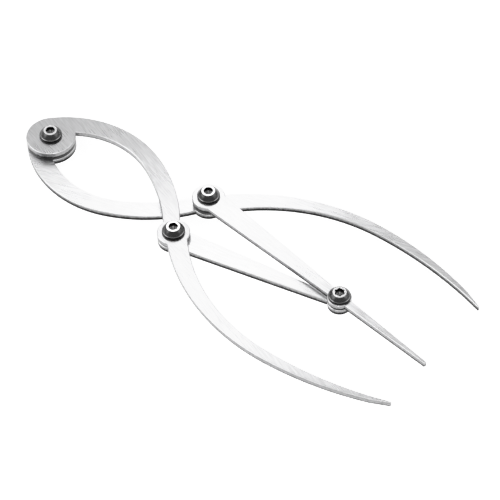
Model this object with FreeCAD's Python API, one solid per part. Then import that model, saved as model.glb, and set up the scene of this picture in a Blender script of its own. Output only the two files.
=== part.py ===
"""Golden-ratio divider caliper: two crossing S-shaped legs, a long link that carries
the middle point and a short link that closes the parallelogram.

Millimetres.  The main pivot's axis is the Z axis, z = 0 is the flat underside,
+X points from the main pivot to the three points.  The upper leg and the long link lie
in one layer.  The short link lies right under them, and the lower leg one spacer lower.
"""
import math
import os

import FreeCAD
import Part

# ---------------------------------------------------------------- driving sizes
GOLDEN = (1 + math.sqrt(5)) / 2
LEG_LENGTH = 220.0                            # main pivot to the tip of a leg
CELL = LEG_LENGTH * (1 - 1 / GOLDEN)          # side of the parallelogram of pivots
MIDDLE_ARM = LEG_LENGTH / GOLDEN              # pivot on the lower leg to the middle point
HALF_ANGLE = 9.0                              # each leg's chord from the X axis, degrees

BAR = 3.0                                     # thickness of every flat bar
SPACER = 1.6                                  # ring between the lower leg and what it carries
SHIM = 0.2                                    # thin ring on top of the short link
WASHER = 0.4                                  # thin washer under a screw head
SLIP = 0.05                                   # running clearance, radial and axial
SNUG = 0.02                                   # clearance between pieces that stay together
BREAK = 0.3                                   # bevel along the outline of a bar

MAIN_DISC_R = 11.6                            # boss round the main pivot
SIDE_DISC_R = 7.6                             # bosses round the two side pivots
END_DISC_R = 5.5                              # boss where the two links meet

LINK_ROOT_HALF = 5.6                          # a link's half width at its side pivot
LINK_END_HALF = 2.15                          # and where it reaches the other link
MIDDLE_TIP_HALF = 0.65                        # half width of the blunt middle point
LEG_TIP_HALF = 0.4                            # half width of a leg's blunt point

# A leg in its own frame: chord along +X, bow by the main pivot on +Y.  Each side of the
# bow and of the blade is two tangent arcs, given by the first arc's centre and the
# angles in degrees where it starts and where the second arc joins it.
BOW_OUTER = dict(centre=(32.5, -24.1), join=78.5, far_radius=76.8, end=39.0)
BOW_INNER = dict(centre=(33.3, -21.4), radius=40.9, join=72.5, far_radius=89.0, end=49.5)
BLADE_OUTER = dict(centre=(144.7, 80.4), radius=104.7, start=-128.4, join=-79.2)
BLADE_INNER = dict(centre=(148.6, 71.1), radius=90.0, start=-130.4, join=-82.1)
GROUND_X = 212.0                              # the point is ground straight from here on
GROUND_OUTER_Y = -5.6                         # outer and inner side of the blade there
GROUND_INNER_Y = -3.4

# screw families: head, socket with its mouth and drill point, sleeve nut, washer
M6 = dict(head_r=5.25, head_h=3.3, flat_r=3.15, rim=0.5, shank_r=3.0, socket_deep=2.1,
          mouth_r=2.0, point_r=2.0, point_deep=0.9,
          sleeve_r=4.0, flange_r=6.0, washer_r=5.0, pin_hole_at=4.6)
M5 = dict(head_r=5.1, head_h=2.75, flat_r=3.2, rim=0.45, shank_r=2.5, socket_deep=1.8,
          mouth_r=1.9, point_r=1.6, point_deep=0.6,
          sleeve_r=3.25, flange_r=4.4, washer_r=4.85, pin_hole_at=3.4)
HEX_ACROSS = 4.0                              # M6 socket, across its flats
LOBE_AT = 1.9                                 # M5 socket: lobe centres from the axis
LOBE_R = 0.55
DOME_BULGE = 0.18                             # how far a head's flank bulges from a cone
MOUTH = 0.15                                  # bevel round a socket's mouth
POINT_TIP_R = 0.3                             # blunt tip of the drill point
HEAD_CORNER = 0.15                            # bevel under a head
SHANK_CORNER = 0.5                            # bevel on a shank's end

FLANGE = 1.2                                  # sleeve nut's flange, sunk flush in the back
SLEEVE_FLOOR = 1.6                            # closed end of a sleeve nut
SCREW_GAP = 0.3                               # from there to the end of the screw
PIN_HOLE_R = 0.6                              # holes in a sleeve nut for a pin spanner
PIN_HOLE_DEEP = 0.8
RING_CORNER = 0.15                            # bevel on a spacer's rims
SPACER_INSET = 0.15                           # a spacer's rim inside the boss's
SHIM_INSET = 0.6                              # a shim's rim inside the boss's
PAST = 1.0                                    # how far a cutter runs on into the air

# levels, from the underside up
LEG_Z = 0.0
SPACER_Z = LEG_Z + BAR
HIGH_Z = SPACER_Z + SPACER + SLIP
SHIM_Z = HIGH_Z - SLIP - SHIM
SHORT_Z = SHIM_Z - BAR
WASHER_Z = HIGH_Z + BAR + SLIP
HEAD_Z = WASHER_Z + WASHER

UP = FreeCAD.Vector(0, 0, 1)


# ---------------------------------------------------------------- small helpers
def at(x, y, z=0.0):
    return FreeCAD.Vector(x, y, z)


def polar(centre, radius, degrees):
    a = math.radians(degrees)
    return at(centre.x + radius * math.cos(a), centre.y + radius * math.sin(a))


def arc(centre, radius, start, end):
    """Arc from one angle to another in degrees, either way round."""
    middle = polar(centre, radius, (start + end) / 2)
    return Part.Arc(polar(centre, radius, start), middle,
                    polar(centre, radius, end)).toShape()


def angle_of(centre, point):
    return math.degrees(math.atan2(point.y - centre.y, point.x - centre.x))


def cylinder(radius, z, height, centre=None):
    centre = centre or at(0, 0)
    return Part.makeCylinder(radius, height, at(centre.x, centre.y, z), UP)


def polygon_face(points):
    return Part.Face(Part.makePolygon(points + points[:1]))


def disc_face(radius, centre):
    return Part.Face(Part.Wire(Part.makeCircle(radius, centre, UP)))


def tangent_arcs(centre, radius, start, join, far_radius, end):
    """Two arcs, the second one tangent to the first at the angle join."""
    far_centre = polar(centre, radius - far_radius, join)
    return [arc(centre, radius, start, join), arc(far_centre, far_radius, join, end)]


def arcs_to_point(centre, radius, start, join, last):
    """The same, the second arc's radius set so that it ends at the point last."""
    gap = last - centre
    along = gap.dot(polar(at(0, 0), 1, join))
    far_radius = radius + (gap.dot(gap) - radius ** 2) / (2 * (radius - along))
    end = angle_of(polar(centre, radius - far_radius, join), last)
    return tangent_arcs(centre, radius, start, join, far_radius, end)


def loop_face(forward, backward):
    """Face between two runs of edges that both go from the first end to the last."""
    start = forward[0].Vertexes[0].Point, backward[0].Vertexes[0].Point
    end = forward[-1].Vertexes[-1].Point, backward[-1].Vertexes[-1].Point
    caps = [Part.makeLine(*start), Part.makeLine(*end)]
    return Part.Face(Part.Wire(Part.__sortEdges__(forward + backward + caps)))


def bevelled(face):
    """Flat slab of one shape with its outline bevelled above and below."""
    slab = face.extrude(at(0, 0, BAR))
    rims = []
    for edge in slab.Edges:
        heights = [v.Point.z for v in edge.Vertexes]
        if max(heights) - min(heights) < SNUG:
            rims.append(edge)
    return slab.makeChamfer(BREAK, rims)


def bar_solid(faces, z, holes):
    """Flat bar made of overlapping slabs, then bored."""
    slabs = [bevelled(face) for face in faces]
    solid = slabs[0].multiFuse(slabs[1:]).removeSplitter()
    for centre, radius, sunk in holes:
        solid = solid.cut(cylinder(radius, -PAST, BAR + 2 * PAST, centre))
        if sunk:
            solid = solid.cut(cylinder(sunk, 0, FLANGE, centre))
    solid.translate(at(0, 0, z))
    return solid


# ---------------------------------------------------------------- bars
def leg_outline():
    """Overlapping faces of a leg with its chord along +X and its bow on +Y."""
    centre = at(*BOW_OUTER["centre"])
    radius = centre.Length + MAIN_DISC_R                   # runs on into the boss
    outer = tangent_arcs(centre, radius, angle_of(centre, at(0, 0)), BOW_OUTER["join"],
                         BOW_OUTER["far_radius"], BOW_OUTER["end"])
    centre = at(*BOW_INNER["centre"])
    inner = tangent_arcs(centre, BOW_INNER["radius"], angle_of(centre, at(0, 0)),
                         BOW_INNER["join"], BOW_INNER["far_radius"], BOW_INNER["end"])
    bow = loop_face(outer, inner)

    sides = []
    for side, ground_y, tip_y in ((BLADE_OUTER, GROUND_OUTER_Y, -LEG_TIP_HALF),
                                  (BLADE_INNER, GROUND_INNER_Y, LEG_TIP_HALF)):
        ground = at(GROUND_X, ground_y)
        run = arcs_to_point(at(*side["centre"]), side["radius"], side["start"],
                            side["join"], ground)
        sides.append(run + [Part.makeLine(ground, at(LEG_LENGTH, tip_y))])
    blade = loop_face(*sides)
    return [bow, blade, disc_face(MAIN_DISC_R, at(0, 0)),
            disc_face(SIDE_DISC_R, at(CELL, 0))]


def link_outline(length):
    """Overlapping faces of a link from its side pivot at the origin along +X.  The
    middle point lies past the end boss on the long link; the short link stops there."""
    upper = [at(0, LINK_ROOT_HALF), at(CELL, LINK_END_HALF)]
    if length > CELL:
        upper.append(at(length, MIDDLE_TIP_HALF))
    lower = [at(p.x, -p.y) for p in reversed(upper)]
    return [polygon_face(upper + lower), disc_face(SIDE_DISC_R, at(0, 0)),
            disc_face(END_DISC_R, at(CELL, 0))]


def lower_hole(centre, spec):
    """Hole that holds a sleeve nut, its flange sunk in the back of the bar."""
    return centre, spec["sleeve_r"] + SNUG, spec["flange_r"] + SNUG


def upper_hole(centre, spec):
    """Plain hole that turns on a sleeve nut."""
    return centre, spec["sleeve_r"] + SLIP, None


# ---------------------------------------------------------------- pivot hardware
def hex_prism(z, depth):
    """Socket for a hexagon key."""
    corners = [polar(at(0, 0), HEX_ACROSS / math.sqrt(3), 60 * i) for i in range(6)]
    return polygon_face([at(p.x, p.y, z) for p in corners]).extrude(at(0, 0, depth))


def lobe_prism(z, depth):
    """Socket for a six-lobe key."""
    lobes = [cylinder(LOBE_R, z, depth, polar(at(0, 0), LOBE_AT, 60 * i))
             for i in range(6)]
    return cylinder(LOBE_AT, z, depth).multiFuse(lobes).removeSplitter()


def button_screw(spec, end_z):
    """Button-head screw standing on the Z axis, its thread as a plain cylinder."""
    top = HEAD_Z + spec["head_h"]
    shank_r = spec["shank_r"] - SNUG
    rim_r = spec["head_r"]
    rim_z = HEAD_Z + spec["rim"]
    corners = [
        at(spec["flat_r"], 0, top),
        at(0, 0, top),
        at(0, 0, end_z),
        at(shank_r - SHANK_CORNER, 0, end_z),
        at(shank_r, 0, end_z + SHANK_CORNER),
        at(shank_r, 0, HEAD_Z),
        at(rim_r - HEAD_CORNER, 0, HEAD_Z),
        at(rim_r, 0, HEAD_Z + HEAD_CORNER),
        at(rim_r, 0, rim_z),
    ]
    # the flank is nearly a cone: an arc from the rim to the flat that bulges a little
    rise = corners[0] - corners[-1]
    outward = at(rise.z, 0, -rise.x).normalize()
    middle = (corners[0] + corners[-1]) / 2 + outward * DOME_BULGE
    dome = Part.Arc(corners[-1], middle, corners[0]).toShape()
    face = Part.Face(Part.Wire([Part.makePolygon(corners), dome]))
    screw = face.revolve(at(0, 0), UP, 360)
    bottom = top - spec["socket_deep"]
    prism = hex_prism if spec is M6 else lobe_prism
    socket = prism(bottom, spec["socket_deep"] + PAST)
    mouth = Part.makeCone(spec["mouth_r"], spec["mouth_r"] + MOUTH, MOUTH,
                          at(0, 0, top - MOUTH), UP)
    point = Part.makeCone(POINT_TIP_R, spec["point_r"], spec["point_deep"],
                          at(0, 0, bottom - spec["point_deep"]), UP)
    return screw.cut(socket).cut(mouth).cut(point)


def sleeve_nut(spec, back_z):
    """Sleeve the upper bar turns on: flange flush in the back, thread bore above."""
    body = cylinder(spec["flange_r"], back_z, FLANGE)
    body = body.fuse(cylinder(spec["sleeve_r"], back_z, HEAD_Z - back_z)).removeSplitter()
    body = body.cut(cylinder(spec["shank_r"], back_z + SLEEVE_FLOOR, HEAD_Z))
    for degrees in (90, 270):
        hole = polar(at(0, 0), spec["pin_hole_at"], degrees)
        body = body.cut(cylinder(PIN_HOLE_R, back_z - PAST, PAST + PIN_HOLE_DEEP, hole))
    return body


def ring(outer, inner, z, height):
    return cylinder(outer, z, height).cut(cylinder(inner, z, height))


def between_ring(spec, radius, z, height):
    """Spacer or shim between two bosses, its outer corners broken."""
    body = ring(radius, spec["sleeve_r"] + SNUG, z, height)
    rims = [e for e in body.Edges if e.Curve.TypeId == "Part::GeomCircle"
            and e.Curve.Radius > radius - SNUG]
    return body.makeChamfer(min(RING_CORNER, height / 3), rims)


def thin_washer(spec):
    return ring(spec["washer_r"], spec["sleeve_r"] + SLIP, WASHER_Z, WASHER)


# ---------------------------------------------------------------- assembly
def moved(shape, place, turn=0.0):
    """Copy turned about the Z axis by turn degrees, then moved to place."""
    copy = shape.copy()
    copy.rotate(at(0, 0), UP, turn)
    copy.translate(place)
    return copy


MAIN = at(0, 0)
UPPER_SIDE = polar(MAIN, CELL, -HALF_ANGLE)       # pivot on the upper leg
LOWER_SIDE = polar(MAIN, CELL, HALF_ANGLE)        # pivot on the lower leg
LINKS = UPPER_SIDE + LOWER_SIDE                   # where the links meet

outline = leg_outline()
mirrored = [face.mirror(at(0, 0), at(0, 1, 0)) for face in outline]
far_hole = at(CELL, 0)

upper_leg = bar_solid(outline, HIGH_Z, [upper_hole(MAIN, M6), upper_hole(far_hole, M6)])
lower_leg = bar_solid(mirrored, LEG_Z, [lower_hole(MAIN, M6), lower_hole(far_hole, M6)])
long_link = bar_solid(link_outline(MIDDLE_ARM), HIGH_Z,
                      [upper_hole(MAIN, M6), upper_hole(far_hole, M5)])
short_link = bar_solid(link_outline(CELL), SHORT_Z,
                       [lower_hole(MAIN, M6), lower_hole(far_hole, M5)])

nodes = {
    "leg_upper": moved(upper_leg, MAIN, -HALF_ANGLE),
    "leg_lower": moved(lower_leg, MAIN, HALF_ANGLE),
    "link_long": moved(long_link, LOWER_SIDE, -HALF_ANGLE),
    "link_short": moved(short_link, UPPER_SIDE, HALF_ANGLE),
}

# pivot name: place, screw family, back of its lower bar, how far the screw is turned
PIVOTS = {
    "main": (MAIN, M6, LEG_Z, 38),
    "upper_leg": (UPPER_SIDE, M6, SHORT_Z, 52),
    "lower_leg": (LOWER_SIDE, M6, LEG_Z, 39),
    "links": (LINKS, M5, SHORT_Z, 7),
}
for name, (place, spec, back, turned) in PIVOTS.items():
    screw = button_screw(spec, back + SLEEVE_FLOOR + SCREW_GAP)
    nodes["screw_" + name] = moved(screw, place, turned)
    nodes["sleeve_" + name] = moved(sleeve_nut(spec, back), place)
    nodes["washer_" + name] = moved(thin_washer(spec), place)

# node: place, screw family, outside radius, level and thickness of a ring between bars
RINGS = {
    "spacer_main": (MAIN, M6, MAIN_DISC_R - SPACER_INSET, SPACER_Z, SPACER),
    "spacer_lower_leg": (LOWER_SIDE, M6, SIDE_DISC_R - SPACER_INSET, SPACER_Z, SPACER),
    "shim_upper_leg": (UPPER_SIDE, M6, SIDE_DISC_R - SHIM_INSET, SHIM_Z, SHIM),
    "shim_links": (LINKS, M5, END_DISC_R - SHIM_INSET, SHIM_Z, SHIM),
}
for name, (place, spec, radius, z, height) in RINGS.items():
    nodes[name] = moved(between_ring(spec, radius, z, height), place)

os.makedirs("parts", exist_ok=True)
for name, shape in nodes.items():
    assert shape.isValid(), name
    assert len(shape.Solids) == 1, name
    shape.exportStep("parts/" + name + ".step")
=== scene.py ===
"""Golden-ratio divider caliper in brushed steel, lying on a plain pale floor.

The CAD nodes have the right shapes and stay; this script gives each of them a
procedural finish, and adds the floor, the soft studio light and the camera.
Metres, in the frame of the CAD.
"""

import math

import bpy
from mathutils import Matrix, Vector


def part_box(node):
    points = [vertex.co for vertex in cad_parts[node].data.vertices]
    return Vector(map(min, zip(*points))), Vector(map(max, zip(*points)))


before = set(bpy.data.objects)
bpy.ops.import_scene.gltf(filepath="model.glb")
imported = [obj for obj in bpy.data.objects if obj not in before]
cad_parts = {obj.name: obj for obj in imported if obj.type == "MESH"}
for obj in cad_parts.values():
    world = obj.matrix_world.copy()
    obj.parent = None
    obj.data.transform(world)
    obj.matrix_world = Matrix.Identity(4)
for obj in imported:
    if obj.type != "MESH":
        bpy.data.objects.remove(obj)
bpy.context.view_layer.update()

MM = 0.001
WHITE = (1, 1, 1, 1)

# ---------------------------------------------------------------- camera
CAMERA_AZIMUTH = 38.05        # degrees, 0 looks along +Y
CAMERA_ELEVATION = 50.2       # degrees above the horizon
CAMERA_ROLL = -1.82           # degrees about the line of sight
CAMERA_DISTANCE = 1.1487      # from the point looked at
CAMERA_LENS = 182.8           # mm
SENSOR = 36                   # mm
LOOK_AT = Vector((0.1158, 0.0008, 0.004))

# ---------------------------------------------------------------- finishes
# A tone is a reflectance. Two numbers in a row are the ends of a range.
#
# bars: direction of the brushing in degrees from +X, tone of the faces, tone of the
# burnished upper part of the sheared sides, and how far up them the torn part reaches; the
# torn part is painted near black as painted contact shade
BARS = {
    "leg_upper": dict(degrees=-20, face=0.71, side=0.29, torn_and_shade_share=0.24),
    "leg_lower": dict(degrees=14, face=0.93, side=0.21, torn_and_shade_share=0.60),
    "link_long": dict(degrees=-9, face=0.86, side=0.28, torn_and_shade_share=0.42),
    "link_short": dict(degrees=9, face=0.86, side=0.25, torn_and_shade_share=0.60),
}
FACE_VARIES = 0.85, 1.05      # from hair to hair, times the tone of the face
SIDE_VARIES = 0.76, 1.24      # from pit to pit, times the tone of the side
# painted contact shade: the torn lower part of each sheared side is painted near black,
# darker than dull torn steel, for the shade low on the side
TORN_SHADE_TONE = 0.015
TORN_SHADE_BLUR = 0.08              # the torn part ends over this share of the bar's thickness
TORN_SHADE_RAGGED = 0.10            # and its end runs up and down by this share
EDGE_TONE = 0.70, 0.86        # of the rubbed bevels
BAR_ROUGH = 0.26, 0.32
CLOUDS_ROUGHER = -0.02, 0.03
EDGE_ROUGHER = 0.10
EDGE_LEAN = 0.6               # how far the worn bevels lean towards the face
# marks on a bar: size along, across and through it, or one size for all three
HAIRS = 7 * MM, 0.48 * MM, 9 * MM
STROKES = 11 * MM, 0.9 * MM, 30 * MM
STROKES_TURNED = 2            # degrees from the hairs
CLOUDS = 14 * MM
PITS = 1.1 * MM
BRUSHED = 0.40, 0.60          # the grain's values between dark and light
BRUSHED_DEPTH = 0.01 * MM
GRITTY = dict(detail=3.0, roughness=0.6)
# the normal's upright part where a side becomes a bevel, and a bevel a face
SIDE_TO_EDGE = 0.12, 0.3
EDGE_TO_FACE = 0.93, 0.995

# sleeves, spacers, washers and shims; the spacers are turned steel painted near black as
# painted shade in the gap between the bars
SLEEVE_TONE = 0.50, 0.62
SPACER_SHADE_TONE = 0.03, 0.07
RING_ROUGH = 0.22, 0.34
RING_LINES = 0.12 * MM
WASHER_TONE = 0.018, 0.04
WASHER_ROUGH = 0.5, 0.7
WASHER_SPECKS = 0.3 * MM

# screw heads: flank; a painted highlight as a bright ring round the socket's mouth; a
# rubbed lip, partly wear and partly a painted highlight; a rim painted black as painted
# shadow; painted shade in the socket
FLANK_TONE = 0.09, 0.14
# painted highlight: the ring round the socket's mouth is painted near white for the
# reflection of the light on its flat land
MOUTH_HIGHLIGHT_TONE = 0.86, 0.98
# the lip: partly rubbed steel, partly a painted highlight along the head's lower edge
LIP_WEAR_AND_HIGHLIGHT_TONE = 0.42
# painted shadow: the rim is painted black for the shadow under the head
RIM_SHADOW_TONE = 0.01
# painted shade and light in the socket: its walls painted darker than the flank, its floor
# painted lighter
SOCKET_WALL_SHADE_TONE = 0.05
SOCKET_FLOOR_LIT_TONE = 0.18
HEAD_ROUGH = 0.22, 0.30
MOUTH_SMOOTHER = -0.03
LIP_LEAN = 0.5                # how far the worn lip leans up
HEAD_LINES = 0.15 * MM
HEAD_SPECKS = 0.8 * MM
# where the zones of a head end or start, as shares of its radius
SOCKET_END = 0.42, 0.44
MOUTH_END = 0.61 * 0.97, 0.61 * 1.05
LIP_START = 0.925, 0.94
RIM_START = 0.955, 0.97
# the flat top of a head: its depth below the highest point, and its normal's upright part
TOP_DEPTH = 0.25 * MM, 0.05 * MM
TOP_LEVEL = 0.75, 0.95


# ---------------------------------------------------------------- shader helpers
class Nodes:
    """Node tree of a material or a world, with a call for each kind of node used here."""

    def __init__(self, owner):
        self.owner = owner
        owner.use_nodes = True
        self.tree = owner.node_tree
        self.tree.nodes.clear()

    def node(self, kind, settings=None, **inputs):
        made = self.tree.nodes.new(kind)
        for key, value in (settings or {}).items():
            setattr(made, key, value)
        for key, value in inputs.items():
            self.plug(made.inputs[key.replace("_", " ")], value)
        return made

    def plug(self, socket, value):
        if isinstance(value, bpy.types.NodeSocket):
            self.tree.links.new(value, socket)
        else:
            socket.default_value = value

    def plug_all(self, made, *values):
        """Fill the first inputs of a node whose inputs share one name."""
        for socket, value in zip(made.inputs, values):
            self.plug(socket, value)
        return made.outputs

    # numbers
    def calculate(self, operation, first, second=0.0):
        made = self.node("ShaderNodeMath", {"operation": operation})
        return self.plug_all(made, first, second)[0]

    def add(self, first, second):
        return self.calculate("ADD", first, second)

    def times(self, first, second):
        return self.calculate("MULTIPLY", first, second)

    def but_not(self, zone, other):
        """The part of a zone that another zone leaves over."""
        return self.times(zone, self.calculate("SUBTRACT", 1.0, other))

    def ramp(self, value, low, high, out_low=0.0, out_high=1.0, smooth=False):
        """value mapped from low..high to out_low..out_high, and held outside."""
        kind = {"interpolation_type": "SMOOTHSTEP" if smooth else "LINEAR"}
        made = self.node("ShaderNodeMapRange", kind)
        return self.plug_all(made, value, low, high, out_low, out_high)[0]

    def spread(self, noise, low=0.0, high=1.0):
        """The values that a noise mostly has, mapped to low..high."""
        return self.ramp(noise, 0.3, 0.7, low, high)

    # vectors
    def vector(self, operation, *values):
        made = self.node("ShaderNodeVectorMath", {"operation": operation})
        outputs = self.plug_all(made, *values)
        return outputs["Value" if operation == "DOT_PRODUCT" else "Vector"]

    def parts(self, vector):
        return self.node("ShaderNodeSeparateXYZ", Vector=vector).outputs

    def place(self):
        return self.node("ShaderNodeTexCoord").outputs["Object"]

    def normal(self):
        return self.node("ShaderNodeNewGeometry").outputs["Normal"]

    def leaned(self, normal, lift):
        """The normal leaned up by lift, as where an edge is worn round."""
        lean = self.node("ShaderNodeCombineXYZ", Z=lift).outputs[0]
        return self.vector("NORMALIZE", self.vector("ADD", normal, lean))

    # patterns
    def marks(self, vector, sizes, degrees, seed, **kind):
        """Noise in cells of the given sizes, turned about Z to a direction."""
        cells = self.node("ShaderNodeMapping", {"vector_type": "TEXTURE"}, Vector=vector)
        cells.inputs["Rotation"].default_value[2] = math.radians(degrees)
        cells.inputs["Scale"].default_value = sizes
        return self.noise(cells.outputs[0], seed, **kind)

    def specks(self, vector, size, seed, **kind):
        """Noise in cells of one size."""
        return self.marks(vector, (size, size, size), 0, seed, **kind)

    def noise(self, vector, seed, detail=2.0, roughness=0.5):
        made = self.node("ShaderNodeTexNoise", {"noise_dimensions": "4D"}, Vector=vector,
                         W=seed, Scale=1.0, Detail=detail, Roughness=roughness)
        return made.outputs["Fac"]

    # surfaces
    def mix(self, share, first, second):
        """Colour between two greys or colours."""
        made = self.node("ShaderNodeMix", {"data_type": "RGBA"})
        self.plug(made.inputs[0], share)
        self.plug(made.inputs[6], grey(first))
        self.plug(made.inputs[7], grey(second))
        return made.outputs[2]

    def finish(self, **inputs):
        surface = self.node("ShaderNodeBsdfPrincipled", **inputs).outputs[0]
        self.node("ShaderNodeOutputMaterial", Surface=surface)
        return self.owner

    def finish_turned(self, tone, rough, anisotropic, **inputs):
        """Metal whose fine lines run round the Z axis."""
        tangent = self.node("ShaderNodeTangent", {"direction_type": "RADIAL", "axis": "Z"})
        return self.finish(Base_Color=tone, Metallic=1.0, Roughness=rough,
                           Anisotropic=anisotropic, Anisotropic_Rotation=0.25,
                           Tangent=tangent.outputs[0], **inputs)


def new_material(name):
    return Nodes(bpy.data.materials.new(name))


def grey(value):
    """A colour from one number, a very little cool, as bare steel is."""
    if isinstance(value, (int, float)):
        return value, value, value * 1.01, 1.0
    return value


# ---------------------------------------------------------------- materials
def brushed_bar(name, node, seed, degrees, face, side, torn_and_shade_share):
    """Flat bar: straight brushing on its faces, sheared sides with painted contact shade
    on their torn lower part, rubbed bevels.
    """
    s = new_material(name)
    low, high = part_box(node)
    place = s.place()
    normal = s.normal()
    up = s.parts(normal)["Z"]
    level = s.calculate("ABSOLUTE", up)
    way_up = s.ramp(s.parts(place)["Z"], low.z, high.z)

    hairs = s.marks(place, HAIRS, degrees, seed)
    strokes = s.marks(place, STROKES, degrees + STROKES_TURNED, seed + 3)
    clouds = s.specks(place, CLOUDS, seed + 7)
    pits = s.specks(place, PITS, seed + 9, **GRITTY)
    grain = s.add(s.times(hairs, 0.7), s.times(strokes, 0.3))

    face_tone = s.mix(s.ramp(grain, *BRUSHED), *(face * part for part in FACE_VARIES))
    # a sheared side is burnished above and torn and dull below, where it is also painted
    # near black as painted contact shade
    burnished = s.mix(s.spread(pits), *(side * part for part in SIDE_VARIES))
    ragged = s.add(way_up, s.ramp(pits, 0.25, 0.75, -TORN_SHADE_RAGGED, TORN_SHADE_RAGGED))
    above = s.ramp(ragged, torn_and_shade_share - TORN_SHADE_BLUR, torn_and_shade_share + TORN_SHADE_BLUR)
    side_tone = s.mix(above, TORN_SHADE_TONE, burnished)
    edge_tone = s.mix(s.spread(clouds), *EDGE_TONE)
    on_edge = s.ramp(level, *SIDE_TO_EDGE)
    on_face = s.ramp(level, *EDGE_TO_FACE)
    bevel = s.but_not(on_edge, on_face)
    tone = s.mix(on_face, s.mix(on_edge, side_tone, edge_tone), face_tone)
    rough = s.add(s.spread(grain, *BAR_ROUGH), s.spread(clouds, *CLOUDS_ROUGHER))
    rough = s.add(rough, s.times(bevel, EDGE_ROUGHER))

    worn = s.leaned(normal, s.times(bevel, s.times(up, EDGE_LEAN)))
    bump = s.node("ShaderNodeBump", Strength=0.2, Distance=BRUSHED_DEPTH, Height=grain,
                  Normal=worn)
    across = math.radians(degrees + 90)
    tangent = s.node("ShaderNodeVectorTransform",
                     {"vector_type": "VECTOR", "convert_from": "OBJECT",
                      "convert_to": "WORLD"},
                     Vector=(math.cos(across), math.sin(across), 0))
    return s.finish(Base_Color=tone, Metallic=1.0, Roughness=rough, Anisotropic=0.6,
                    Tangent=tangent.outputs[0], Normal=bump.outputs[0])


def from_axis(s, node):
    """Place from the upright axis of a round node: distance, height, and all of it."""
    low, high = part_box(node)
    centre = (low + high) / 2
    place = s.vector("SUBTRACT", s.place(), (centre.x, centre.y, 0))
    parts = s.parts(place)
    x, y = parts["X"], parts["Y"]
    radius = s.calculate("SQRT", s.add(s.times(x, x), s.times(y, y)))
    return radius, parts["Z"], place


def turned_lines(s, radius, height, cell, seed):
    """Noise that runs round an axis, as a lathe tool leaves it."""
    line = s.node("ShaderNodeCombineXYZ", X=s.calculate("DIVIDE", radius, cell),
                  Y=s.calculate("DIVIDE", height, cell))
    return s.noise(line.outputs[0], seed, roughness=0.6)


def turned_ring(name, node, tones, seed):
    """Round piece off the lathe."""
    s = new_material(name)
    radius, height, _ = from_axis(s, node)
    lines = turned_lines(s, radius, height, RING_LINES, seed)
    tone = s.mix(s.spread(lines), *tones)
    return s.finish_turned(tone, s.spread(lines, *RING_ROUGH), anisotropic=0.4)


def dark_screw(name, node, seed):
    """Dark button head with a painted highlight ring round its socket, a partly rubbed lip
    with a painted highlight, a black rim of painted shadow and painted shade in its
    socket.
    """
    s = new_material(name)
    low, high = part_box(node)
    head_r = (high.x - low.x) / 2
    radius, height, place = from_axis(s, node)
    lines = turned_lines(s, radius, height, HEAD_LINES, seed)
    specks = s.specks(place, HEAD_SPECKS, seed, **GRITTY)
    normal = s.normal()

    def zone(limits, inner=0.0, outer=1.0):
        return s.ramp(radius, head_r * limits[0], head_r * limits[1], inner, outer)

    level = s.ramp(s.parts(normal)["Z"], *TOP_LEVEL)
    near_top = s.ramp(height, *(high.z - depth for depth in TOP_DEPTH))
    # the flat land round the socket's mouth, which gets the painted highlight
    mouth = s.times(s.times(zone(MOUTH_END, 1.0, 0.0), near_top), level)
    inside = zone(SOCKET_END, 1.0, 0.0)
    # the lip above the rim is rubbed round and painted bright, partly wear and partly a
    # painted highlight; the rim is painted black as the painted shadow under the head
    on_lip = zone(LIP_START)
    on_rim = zone(RIM_START)

    dark = s.mix(s.spread(lines), *FLANK_TONE)
    # the painted highlight of the flat land round the mouth
    bright = s.mix(s.ramp(specks, 0.35, 0.7), *MOUTH_HIGHLIGHT_TONE)
    # the flank with a painted highlight on its lip and a painted shadow on its rim
    flank = s.mix(on_rim, s.mix(on_lip, dark, LIP_WEAR_AND_HIGHLIGHT_TONE), RIM_SHADOW_TONE)
    # painted shade on the socket's walls, a lighter painted floor
    socket = s.mix(level, SOCKET_WALL_SHADE_TONE, SOCKET_FLOOR_LIT_TONE)
    tone = s.mix(mouth, s.mix(inside, flank, socket), bright)
    worn = s.leaned(normal, s.times(s.but_not(on_lip, on_rim), LIP_LEAN))
    rough = s.add(s.spread(specks, *HEAD_ROUGH), s.times(mouth, MOUTH_SMOOTHER))
    return s.finish_turned(tone, rough, anisotropic=0.3, Normal=worn)


def black_washer(name):
    """Matt black sheet."""
    s = new_material(name)
    specks = s.specks(s.place(), WASHER_SPECKS, 2.0, **GRITTY)
    return s.finish(Base_Color=s.mix(specks, *WASHER_TONE),
                    Roughness=s.spread(specks, *WASHER_ROUGH))


def give(node, material):
    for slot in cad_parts[node].material_slots:
        slot.material = material


for count, (node, look) in enumerate(BARS.items()):
    give(node, brushed_bar("brushed_" + node, node, 10.0 * count, **look))
washer_finish = black_washer("washer_black")
for count, node in enumerate(sorted(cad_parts)):
    name = "finish_" + node
    seed = 10.0 * count
    if node.startswith("screw_"):
        give(node, dark_screw(name, node, seed))
    elif node.startswith("sleeve_"):
        give(node, turned_ring(name, node, SLEEVE_TONE, seed))
    # the spacers: turned steel painted near black, as painted shade between the bars
    elif node.startswith("spacer_"):
        give(node, turned_ring(name, node, SPACER_SHADE_TONE, seed))
    elif node.startswith(("washer_", "shim_")):
        give(node, washer_finish)

# ---------------------------------------------------------------- floor
FLOOR_HALF = 4.0
FLOOR_GAP = 0.03 * MM
FLOOR_GLOW = 0.85

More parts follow.
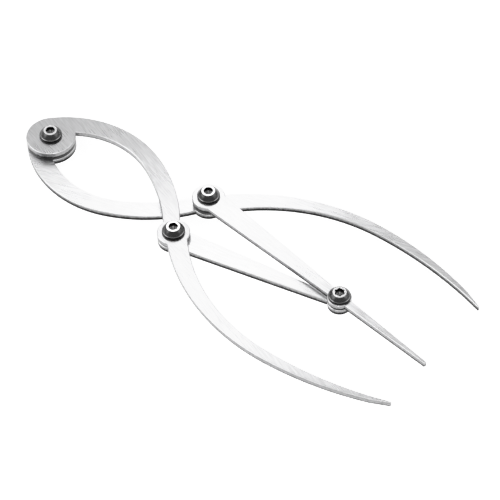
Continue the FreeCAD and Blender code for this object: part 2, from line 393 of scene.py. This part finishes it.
floor_mesh = bpy.data.meshes.new("floor")
corners = (-1, -1), (1, -1), (1, 1), (-1, 1)
floor_mesh.from_pydata([(x * FLOOR_HALF, y * FLOOR_HALF, -FLOOR_GAP) for x, y in corners],
                       [], [(0, 1, 2, 3)])
floor = bpy.data.objects.new("floor", floor_mesh)
bpy.context.scene.collection.objects.link(floor)
floor_mesh.materials.append(new_material("floor_white").finish(
    Base_Color=(0.9, 0.9, 0.9, 1), Roughness=0.8,
    Emission_Color=WHITE, Emission_Strength=FLOOR_GLOW))


# ---------------------------------------------------------------- light
def direction(azimuth, elevation):
    """Unit vector towards a place in the sky, by the camera's own angles."""
    a = math.radians(azimuth)
    e = math.radians(elevation)
    return Vector((math.sin(a) * math.cos(e), -math.cos(a) * math.cos(e), math.sin(e)))


def softbox(name, azimuth, elevation, distance, size, radiance):
    """Rectangular light that faces the object, as bright as radiance all over."""
    width, height = size
    data = bpy.data.lights.new(name, "AREA")
    data.shape = "RECTANGLE"
    data.size = width
    data.size_y = height
    data.energy = radiance * math.pi * width * height
    lamp = bpy.data.objects.new(name, data)
    bpy.context.scene.collection.objects.link(lamp)
    towards = direction(azimuth, elevation)
    lamp.location = LOOK_AT + towards * distance
    lamp.rotation_mode = "QUATERNION"
    lamp.rotation_quaternion = towards.to_track_quat("Z", "Y")
    lamp.visible_camera = False


BACK = CAMERA_AZIMUTH + 180   # the bars' tops mirror this side of the room
LEFT = CAMERA_AZIMUTH - 90
RIGHT = CAMERA_AZIMUTH + 90
softbox("light_near", BACK + 13, 59, distance=0.45, size=(0.20, 0.22), radiance=1.65)
softbox("light_top", CAMERA_AZIMUTH, 71, distance=1.3, size=(0.45, 0.45), radiance=3.0)
softbox("light_back", BACK, 35, distance=1.3, size=(1.2, 0.5), radiance=0.56)
softbox("light_left", LEFT, 38, distance=1.4, size=(1.2, 1.0), radiance=1.6)
softbox("light_right", RIGHT, 38, distance=1.4, size=(1.2, 1.0), radiance=1.1)

# the room is a little darker on the camera's side than behind the object, and plain white
# where the camera sees it past the floor
ROOM_FRONT, ROOM_BACK = 0.28, 0.34
BACKDROP = 1.6

world = bpy.data.worlds.new("studio")
bpy.context.scene.world = world
s = Nodes(world)
ray = s.node("ShaderNodeTexCoord").outputs["Generated"]
behind = s.vector("DOT_PRODUCT", ray, direction(BACK, 30))
shade = s.ramp(behind, -0.3, 0.6, ROOM_FRONT, ROOM_BACK, smooth=True)
room = s.node("ShaderNodeBackground", Color=WHITE, Strength=shade)
backdrop = s.node("ShaderNodeBackground", Color=WHITE, Strength=BACKDROP)
seen = s.node("ShaderNodeLightPath").outputs["Is Camera Ray"]
pick = s.plug_all(s.node("ShaderNodeMixShader"), seen, room.outputs[0],
                  backdrop.outputs[0])[0]
s.node("ShaderNodeOutputWorld", Surface=pick)

# ---------------------------------------------------------------- tone
# a camera's soft shoulder: what is brighter than 0.85 nears white slowly, so that pale
# faces still stand out from the floor; scene brightness to brightness in the picture
SHOULDER = ((0.85, 0.85), (1.0, 0.94), (1.2, 0.97), (1.4, 1.0))
ALL_CHANNELS = 3              # after the curves for red, green and blue

view = bpy.context.scene.view_settings
view.view_transform = "Standard"
view.use_curve_mapping = True
brightest, shown_brightest = SHOULDER[-1]
view.curve_mapping.white_level = brightest, brightest, brightest
curve = view.curve_mapping.curves[ALL_CHANNELS]
curve.points[0].handle_type = "VECTOR"
curve.points[-1].location = 1.0, shown_brightest
for scene_value, shown in SHOULDER[:-1]:
    curve.points.new(scene_value / brightest, shown).handle_type = "VECTOR"
view.curve_mapping.update()

# ---------------------------------------------------------------- camera
camera_data = bpy.data.cameras.new("camera")
camera_data.sensor_width = SENSOR
camera_data.lens = CAMERA_LENS
camera_data.clip_start = 0.01
camera_data.clip_end = 100
camera = bpy.data.objects.new("camera", camera_data)
bpy.context.scene.collection.objects.link(camera)
back = direction(CAMERA_AZIMUTH, CAMERA_ELEVATION)
camera.location = LOOK_AT + back * CAMERA_DISTANCE
camera.rotation_mode = "QUATERNION"
upright = (-back).to_track_quat("-Z", "Y").to_matrix()
roll = Matrix.Rotation(math.radians(CAMERA_ROLL), 3, "Z")
camera.rotation_quaternion = (upright @ roll).to_quaternion()
bpy.context.scene.camera = camera
